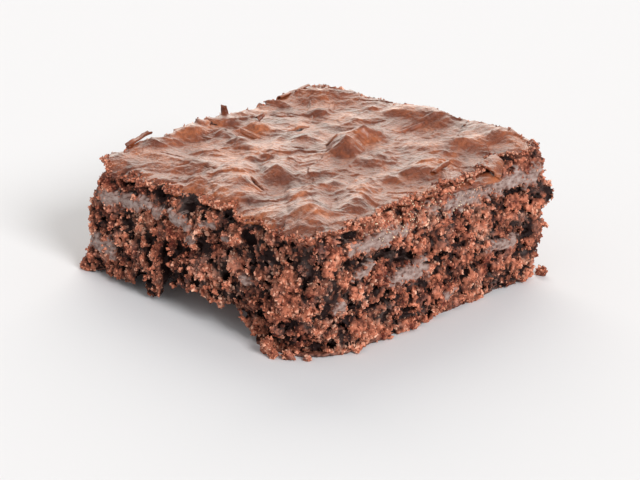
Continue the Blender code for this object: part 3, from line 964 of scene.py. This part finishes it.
dice = np.random.default_rng(14)
LIP_CRUMBS = 4200
from_lip = (1.0 - np.maximum(np.abs(u), np.abs(v)).ravel()) * TOP[0] / 2
strewn = 2.4 * dice.uniform(0.0, 1.0, len(top)) ** 2 * (0.7 + 0.9 * swell(top[:, :3], 5.0, 96))
shown = (v.ravel() < -0.9) | (u.ravel() > 0.9) | (dice.uniform(0.0, 1.0, len(top)) < 0.1)
chosen = dice.choice(np.flatnonzero(shown & (from_lip < strewn)), LIP_CRUMBS)
places = top[chosen, :3] + dice.uniform(-0.25, 0.25, (LIP_CRUMBS, 3)) - [0.0, 0.0, 0.05]
radius = 0.1 + 0.24 * dice.uniform(0.0, 1.0, LIP_CRUMBS) ** 2
crumbs, triangles, belts, tone = pebbles(places, radius, 5, 1, 15)
# Almost no painted shade on the lip crumbs, and their tone is lifted by 0.1, a painted highlight, with a
# random spread.
marks = {"pit_depth_shade": np.full(len(crumbs), -0.3), "tone": 0.1 + 0.28 * tone}
hand_in(make_piece("lip_crumbs", crumbs, [triangles, belts], flat=(0, 1), marks=marks), sponge)

# ------------------------------------------------------------------------------
# Loose flakes of the same crust, which snapped off as it was cut: a chip on edge, a sliver curling off
# the left side, a glossy splinter, and the plate that broke away over the right-hand cut, with the thin
# layer under it. They lie on the crust or hang from its lip.

FLAKE_GRID = (16, 28)

# Corners in order round each flake, as x, y and height over the crust there, then how far it bows
FLAKES = (
    ((-33.0, 5.0, -0.3), (-31.8, 6.2, -0.3), (-32.2, 6.0, 1.9), (-33.1, 5.3, 2.3), 0.15),
    ((-32.4, -21.6, -0.2), (-33.6, -21.6, -0.1), (-34.8, -14.4, 0.9), (-33.4, -14.2, 0.9), 0.4),
    ((28.4, 7.2, 0.9), (29.2, 7.8, 0.6), (28.6, 13.0, 1.2), (27.9, 12.6, 1.6), 0.3),
    ((31.0, 18.4, 0.3), (36.6, 18.9, -1.7), (33.6, 24.0, -0.4), (29.6, 25.0, 0.6), 0.5),
    ((31.5, 6.0, -1.4), (34.6, 7.0, -1.9), (36.6, 19.5, -2.0), (32.6, 20.0, -1.4), 0.3),
    ((-26.0, 9.2, 0.2), (-24.6, 9.0, 0.0), (-24.4, 10.6, 1.0), (-25.4, 11.0, 1.2), 0.2),
    ((-33.2, 22.0, -0.5), (-31.4, 22.0, 0.5), (-31.0, 31.0, 0.5), (-33.0, 30.6, -0.3), 0.4),
)


def flake(corners, bow, seed):
    """A flake: a grid between four corners, bowed, with a ragged outline and a skin's thickness."""
    across, along = np.meshgrid(*(np.linspace(0.0, 1.0, steps) for steps in FLAKE_GRID), indexing="ij")
    places = np.array(corners)
    places[:, 2] += crust_height(places[:, 0], places[:, 1])
    a, b, c, d = places
    u, v = across[..., None], along[..., None]
    flat = (a * (1 - u) + b * u) * (1 - v) + (d * (1 - u) + c * u) * v
    facing = np.cross(c - a, d - b)
    facing = facing / np.linalg.norm(facing)
    in_across, in_along = np.minimum(across, 1.0 - across), np.minimum(along, 1.0 - along)
    rim = 1.0 - np.minimum(in_across * 3.0, in_along * 6.0).clip(0.0, 1.0)
    torn = np.stack([swell(flat, 1.1, seed + step) for step in range(3)], -1)
    tear = 0.14 * min(np.linalg.norm(b - a), np.linalg.norm(d - a), 3.0)
    flat = flat + tear * rim[..., None] * torn
    lift = bow * (4.0 * across * (1.0 - across) - 0.5) + 0.25 * swell(flat, 2.0, seed + 3)
    thick = 0.14 + 0.1 * (1.0 - rim)
    over = flat + facing * (lift + thick)[..., None]
    under = flat + facing * (lift - thick)[..., None]
    return np.concatenate([over.reshape(-1, 3), under.reshape(-1, 3)])


flakes = [flake(sizes[:4], sizes[4], 200 + 10 * number) for number, sizes in enumerate(FLAKES)]
number = np.arange(np.prod(FLAKE_GRID)).reshape(FLAKE_GRID)
loop = border(number)
after = np.roll(loop, -1)
edge = np.stack([loop, loop + number.size, after + number.size, after], -1)
one_flake = np.concatenate([grid_faces(number), grid_faces(number)[:, ::-1] + number.size, edge])
flake_faces = np.concatenate([one_flake + start * len(flakes[0]) for start in range(len(flakes))])
hand_in(make_piece("flakes", np.concatenate(flakes), [flake_faces]), crust_skin)

# ------------------------------------------------------------------------------
# Sugar that never melted: pale crystals a third of a millimetre across, held in the crumb under the
# crust along the right-hand cut. They are the same pebbles as the grit, of one size.

SUGAR_GRAINS = 130
SUGAR_RADIUS = 0.17


def sugar_grains():
    """White sugar crystals: pale, faintly golden and glossy."""
    material, _, surface, _ = new_material("sugar_crystal")
    feed(surface, {"Base Color": paint("#f2d9b8"), "Roughness": 0.2})
    return material


dice = np.random.default_rng(8)
x, y, z = vertices.T
by_crust = (x > 30.0) & (z > 20.5) & (np.abs(y + 2.0) < 16.0) & (pit_depth_shade < 0.6)
places = vertices[dice.choice(np.flatnonzero(by_crust), SUGAR_GRAINS, replace=False)] + [0.15, 0.0, 0.0]
grains, triangles, belts, _ = pebbles(places, np.full(SUGAR_GRAINS, SUGAR_RADIUS), 4, 1, 9)
hand_in(make_piece("sugar", grains, [triangles, belts]), sugar_grains())

# ------------------------------------------------------------------------------
# The board and the light: a plain matt white board, a soft window on the right, a warm wall that sends
# light back from the far left, and a white room.


def white_board():
    """Matt white board."""
    material, _, surface, _ = new_material("white_board")
    feed(surface, {"Base Color": paint("#e4e4e6"), "Roughness": 0.9, "Specular IOR Level": 0.0})
    return material


reach = 3000.0
board = make_piece(
    "board",
    np.array([[-reach, -reach, 0.0], [reach, -reach, 0.0], [reach, reach, 0.0], [-reach, reach, 0.0]]),
    [np.array([[0, 1, 2, 3]])],
)
board.data.materials.append(white_board())


def point_at(thing, place, target):
    """Puts a lamp or camera at a place, in millimetres, looking at a target."""
    line = Vector(target) - Vector(place)
    thing.location = Vector(place) / 1000.0
    thing.rotation_euler = line.to_track_quat("-Z", "Y").to_euler()


def lamp(name, kind, place, energy, target=(0.0, 0.0, 12.0), **settings):
    """A lamp of a kind, at a place."""
    light = bpy.data.lights.new(name, kind)
    light.energy = energy
    for key, value in settings.items():
        setattr(light, key, value)
    holder = bpy.data.objects.new(name, light)
    bpy.context.scene.collection.objects.link(holder)
    point_at(holder, place, target)


lamp("window_light", "SUN", (950.0, -120.0, 560.0), 2.6, angle=0.4)
lamp("back_wall", "SUN", (-716.0, 698.0, 480.0), 2.2, angle=1.0, color=(1.0, 0.94, 0.84))

room = bpy.data.worlds.new("white_room")
room.use_nodes = True
feed(room.node_tree.nodes["Background"], {"Color": (1.0, 1.0, 1.0, 1.0), "Strength": 0.52})
bpy.context.scene.world = room
bpy.context.scene.view_settings.view_transform = "Standard"

# The camera: three-quarter view from the near right-hand corner, a little above the crust
AZIMUTH, ELEVATION, DISTANCE = np.radians(45.7), np.radians(21.5), 350.0
TARGET = np.array([0.9, 0.6, 7.3])
backwards = np.array(
    [np.sin(AZIMUTH) * np.cos(ELEVATION), -np.cos(AZIMUTH) * np.cos(ELEVATION), np.sin(ELEVATION)]
)
lens = bpy.data.cameras.new("camera")
lens.lens = 92.1
lens.sensor_width = 36.0
lens.clip_start = 0.01
camera = bpy.data.objects.new("camera", lens)
bpy.context.scene.collection.objects.link(camera)
point_at(camera, TARGET + backwards * DISTANCE, TARGET)
bpy.context.scene.camera = camera
